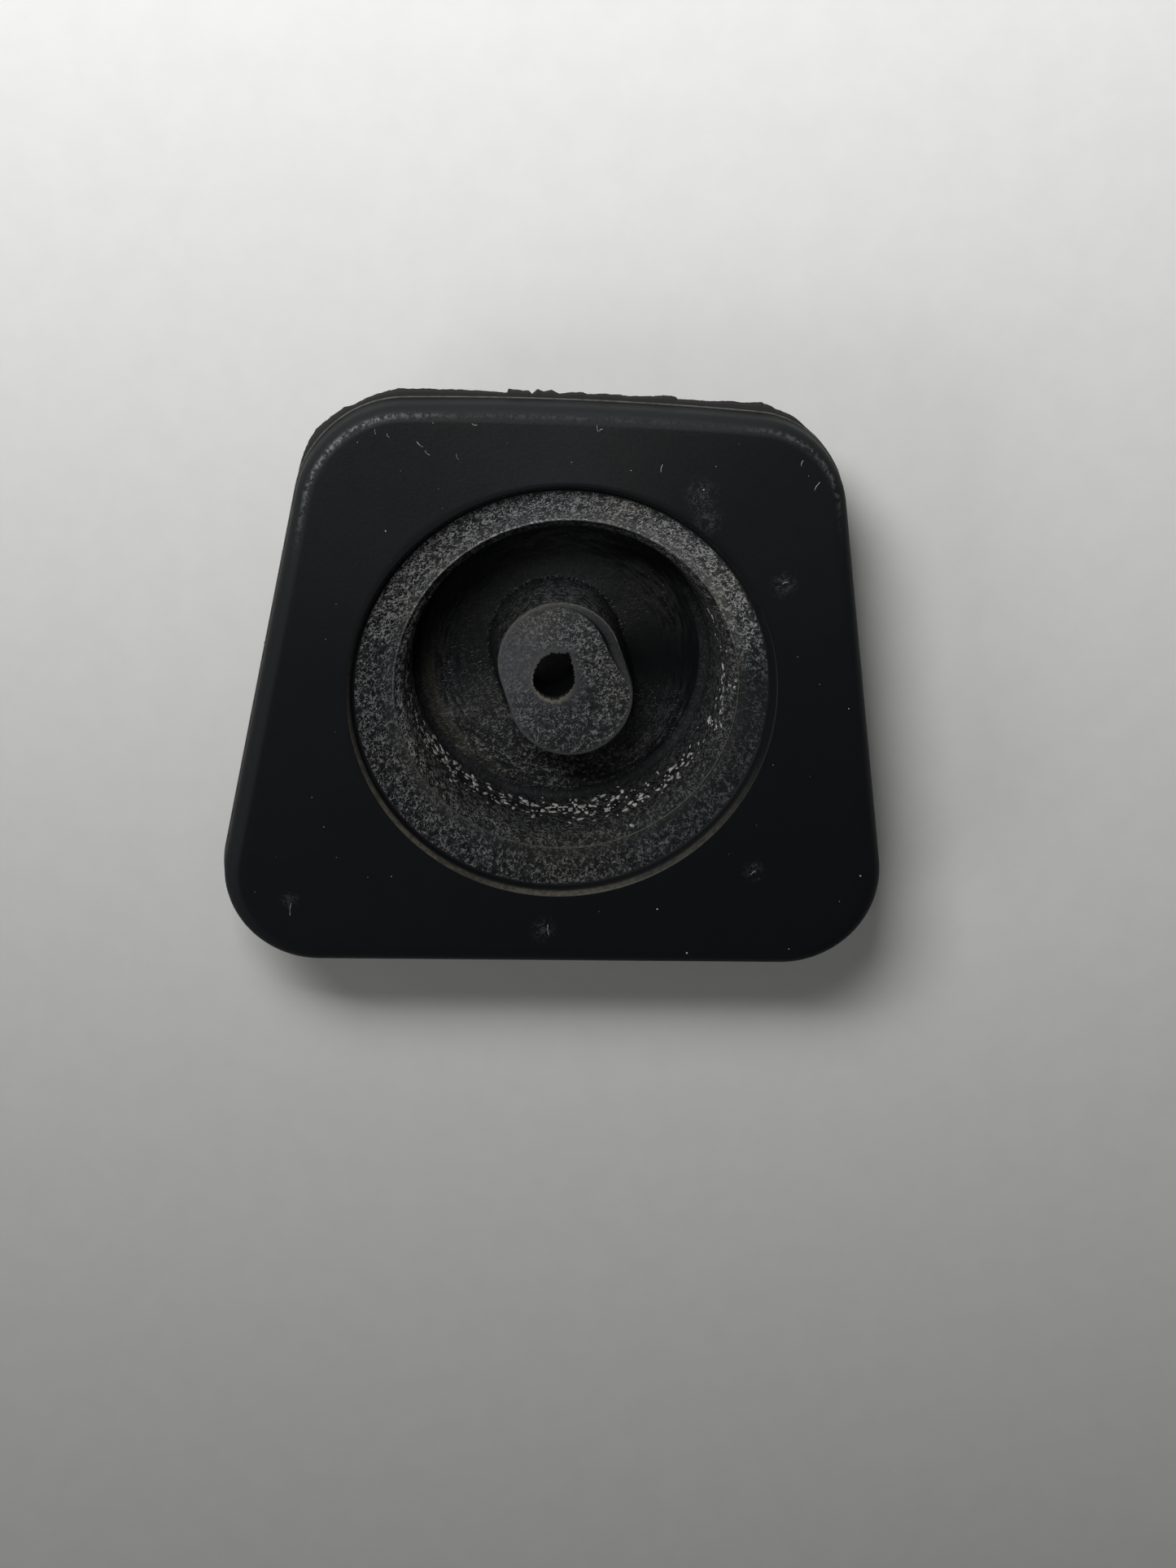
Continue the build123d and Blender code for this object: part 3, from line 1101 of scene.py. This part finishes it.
def scatter(name, material, host, mark, density, small, large, stretch, seed):
    """Geometry nodes that scatter flattened crumbs over a host where its mark says."""
    inputs = {
        "Host": host,
        "Density": density,
        "Smallest": small,
        "Largest": large,
        "Stretch": stretch,
        "Gathering": 1.1 * MM,
        "Lumps": 0.5 * small,
        "Seed": seed,
    }
    grown = Growth(name, material, inputs)
    body = grown.node("GeometryNodeObjectInfo", {"Object": grown.input("Host")}, "Geometry")
    where = grown.node("GeometryNodeInputPosition")
    groups = grown.noise(grown.counted(where, "Gathering"), 1.0, 1.0, 0.5, 3.0)
    gathered = grown.rise(groups, 0.42, 0.56)
    inputs = {
        "Mesh": body,
        "Density": grown.stored(mark) * gathered * grown.input("Density"),
        "Seed": grown.input("Seed"),
    }
    points = grown.node("GeometryNodeDistributePointsOnFaces", inputs, "Points")
    normal = Value(grown, points.socket.node.outputs["Normal"])
    upright = grown.node("FunctionNodeAlignRotationToVector", {"Vector": normal}, axis="Z")
    twist = grown.random(grown.input("Seed")) * TAU
    inputs = {"Rotation": upright, "Rotate By": grown.xyz(0.0, 0.0, twist)}
    turned = grown.node("FunctionNodeRotateRotation", inputs, rotation_space="LOCAL")
    range_of_sizes = grown.input("Largest") - grown.input("Smallest")
    size = grown.input("Smallest") + range_of_sizes * grown.random(grown.input("Seed") + 5) ** 2
    shape = grown.xyz(size * grown.input("Stretch"), size, size * 0.45)
    crumb = grown.node("GeometryNodeMeshIcoSphere", {"Radius": 1.0, "Subdivisions": 2})
    inputs = {"Points": points, "Instance": crumb, "Rotation": turned, "Scale": shape}
    crumbs = grown.node("GeometryNodeInstanceOnPoints", inputs)
    plain = grown.node("GeometryNodeRealizeInstances", {"Geometry": crumbs})
    lumps = grown.noise(where, 1.6 * small, 1.0, 0.5, 2.0) - 0.5
    outward = grown.node("GeometryNodeInputNormal")
    lumpy = grown.scaled(outward, lumps * grown.input("Lumps") * 4)
    grown.finish(grown.move(plain, lumpy))
    return grown


def make_dust(scene):
    """Scatters dust on the flange and pale flakes on the sleeve wall."""
    body = bpy.data.objects["moulding"]
    mesh = body.data
    points = np.empty(len(mesh.vertices) * 3)
    mesh.vertices.foreach_get("co", points)
    x, y, z = points.reshape(-1, 3).T
    clear_of_recess = np.hypot(x, y) > 27 * MM
    keep(mesh, "dusty", (z > FACE_HEIGHT - 0.02 * MM) & clear_of_recess)
    finish = scene.grommet_finish
    dust = dust_finish("dust", finish.dust)
    specks = new_piece("dust_specks", [], [])
    scatter("dust", dust, body, "dusty", 3.0e4, 0.03 * MM, 0.11 * MM, 1.2, 5).apply(specks)
    settle(specks)
    pale = dust_finish("flakes", finish.flake)
    flakes = new_piece("wall_flakes", [], [])
    scatter("flakes", pale, body, "fleck", 4.0e6, 0.08 * MM, 0.28 * MM, 1.9, 9).apply(flakes)
    settle(flakes)


class GROMMET_OT_dust(bpy.types.Operator):
    """Scatters dust on the flange and pale flakes on the sleeve wall"""

    bl_idname = "grommet.dust"
    bl_label = "Dust and flakes"

    def execute(self, context):
        make_dust(context.scene)
        return {"FINISHED"}


# Each fibre's place in millimetres, its turn in degrees and its length in millimetres
LINT = [
    (-13.8, 29.8, 115, 0.72), (-23.6, 32.6, 100, 0.64), (-22.1, 32.2, 120, 0.56),
    (-18.3, 31.2, 140, 0.96), (-17.4, 30.2, 135, 0.8), (-11.9, 33.8, 170, 0.64),
    (2.8, 33.7, 100, 0.88), (3.2, 33.5, 30, 0.48), (29.6, 27.2, 60, 1.2), (27.6, 30.0, 75, 0.72),
    (10.7, 29.0, 80, 0.96), (-0.6, -31.0, 96, 1.44), (-32.9, -28.6, 85, 1.76),
    (24.9, -22.9, 40, 0.72), (26.5, 15.0, 20, 0.64),
]


def lint_fibres(material):
    """Geometry nodes that lay a short bowed fibre at each point."""
    grown = Growth("lint_fibres", material, {"Thickness": 0.055 * MM, "Bow": 0.12 * MM})
    half = 0.5 * MM
    bend = grown.xyz(0.0, grown.input("Bow"), grown.input("Thickness"))
    inputs = {
        "Resolution": 10,
        "Start": (-half, 0, 0),
        "Start Handle": bend,
        "End Handle": bend,
        "End": (half, 0, 0),
    }
    path = grown.node("GeometryNodeCurvePrimitiveBezierSegment", inputs)
    inputs = {"Resolution": 6, "Radius": grown.input("Thickness") / 2}
    section = grown.node("GeometryNodeCurvePrimitiveCircle", inputs)
    inputs = {"Curve": path, "Profile Curve": section, "Fill Caps": True}
    fibre = grown.node("GeometryNodeCurveToMesh", inputs)
    turned = grown.xyz(0.0, 0.0, grown.stored("turn"))
    stretched = grown.xyz(grown.stored("long"), 1.0, 1.0)
    inputs = {"Points": grown.geometry, "Instance": fibre, "Rotation": turned, "Scale": stretched}
    grown.finish(grown.node("GeometryNodeInstanceOnPoints", inputs))
    return grown


def make_lint():
    """Lays the fibres of lint on the flange."""
    level = FACE_HEIGHT + 0.01 * MM
    x, y, turn, long = np.array(LINT).T
    points = np.column_stack([x * MM, y * MM, np.full(len(LINT), level)])
    lint = new_piece("lint", points, [])
    keep(lint.data, "turn", np.radians(turn))
    keep(lint.data, "long", long)
    lint_fibres(bpy.data.materials["dust"]).apply(lint)
    settle(lint)


class GROMMET_OT_lint(bpy.types.Operator):
    """Lays a few fibres of lint on the flange"""

    bl_idname = "grommet.lint"
    bl_label = "Lint"

    def execute(self, context):
        make_lint()
        return {"FINISHED"}


def floor_finish(finish):
    """Plain pale paper."""
    look = Finish("pale_floor")
    mottle = look.rise(look.noise(look.where, 5 * MM, 5.0, 0.6, 6.0), 0.3, 0.7)
    base = look.mix(mottle, [each * 0.97 for each in finish.floor], finish.floor)
    look.set(Base_Color=base, Roughness=0.7, Specular_IOR_Level=0.2)
    return look.material


def make_floor(finish):
    """A wide pale floor under the foot."""
    half = 0.9
    corners = [(half * x, half * y, 0) for x, y in ((-1, -1), (1, -1), (1, 1), (-1, 1))]
    floor = new_piece("floor", corners, [(0, 1, 2, 3)])
    floor.data.materials.append(floor_finish(finish))


def add_lamp(name, spot, target, size, power, spread):
    """A soft square lamp that faces a target."""
    lamp = bpy.data.lights.new(name, "AREA")
    lamp.shape = "SQUARE"
    lamp.size = size
    lamp.spread = math.radians(spread)
    lamp.energy = power
    stand = bpy.data.objects.new(name, lamp)
    stand.location = spot
    stand.rotation_euler = (Vector(target) - Vector(spot)).to_track_quat("-Z", "Y").to_euler()
    bpy.context.scene.collection.objects.link(stand)


def add_camera(view):
    """The camera over the narrow side."""
    lens = bpy.data.cameras.new("camera")
    lens.sensor_fit = "VERTICAL"
    lens.sensor_height = 24
    lens.lens = view.lens
    lens.clip_start = 0.01
    turn = (
        Matrix.Rotation(view.roll, 3, "Z")
        @ Matrix.Rotation(view.swing, 3, "Y")
        @ Matrix.Rotation(view.tilt, 3, "X")
    )
    flip = Matrix.Diagonal((1, -1, -1))
    pose = flip @ turn.transposed() @ flip
    away = Vector((view.aside, view.above, view.distance))
    spot = -((turn @ flip).transposed() @ away)
    spot.z += FACE_HEIGHT
    camera = bpy.data.objects.new("camera", lens)
    camera.matrix_world = Matrix.Translation(spot) @ pose.to_4x4()
    bpy.context.scene.collection.objects.link(camera)
    bpy.context.scene.camera = camera


def light_world(level):
    """A dim even world."""
    world = bpy.data.worlds.new("studio")
    world.use_nodes = True
    background = world.node_tree.nodes["Background"]
    background.inputs["Color"].default_value = (1, 1, 1, 1)
    background.inputs["Strength"].default_value = level
    bpy.context.scene.world = world


class GROMMET_OT_stage(bpy.types.Operator):
    """Adds the floor, the lamps and the camera"""

    bl_idname = "grommet.stage"
    bl_label = "Stage"

    def execute(self, context):
        scene = context.scene
        scene.view_settings.view_transform = "Standard"
        make_floor(scene.grommet_finish)
        light_world(level=0.04)
        key, under_key = (-0.18, 0.42, 0.43), (-0.04, 0.42, 0)
        add_lamp("key", key, under_key, size=0.28, power=3.5, spread=107)
        fill, near_foot = (-0.42, -0.16, 0.30), (0, -0.06, 0)
        add_lamp("fill", fill, near_foot, size=0.25, power=0.5, spread=180)
        add_camera(scene.grommet_view)
        return {"FINISHED"}


class GROMMET_PT_sidebar(bpy.types.Panel):
    """Lists the grommet's pieces and sizes"""

    bl_idname = "GROMMET_PT_sidebar"
    bl_label = "Grommet"
    bl_space_type = "VIEW_3D"
    bl_region_type = "UI"
    bl_category = "Grommet"

    def draw(self, context):
        for operator in OPERATORS:
            self.layout.operator(operator.bl_idname)
        for name, group in GROUPS.items():
            box = self.layout.box()
            box.label(text=group.__doc__)
            for field in group.__annotations__:
                box.prop(getattr(context.scene, name), field)


OPERATORS = (
    GROMMET_OT_body,
    GROMMET_OT_flash,
    GROMMET_OT_dust,
    GROMMET_OT_lint,
    GROMMET_OT_stage,
)


def register():
    for kind in (*GROUPS.values(), *OPERATORS, GROMMET_PT_sidebar):
        bpy.utils.register_class(kind)
    for name, group in GROUPS.items():
        setattr(bpy.types.Scene, name, bpy.props.PointerProperty(type=group))


def unregister():
    for name in GROUPS:
        delattr(bpy.types.Scene, name)
    for kind in (GROMMET_PT_sidebar, *reversed(OPERATORS), *reversed(GROUPS.values())):
        bpy.utils.unregister_class(kind)


def main():
    register()
    bpy.ops.grommet.body()
    bpy.ops.grommet.flash()
    bpy.ops.grommet.dust()
    bpy.ops.grommet.lint()
    bpy.ops.grommet.stage()


if __name__ == "__main__":
    main()
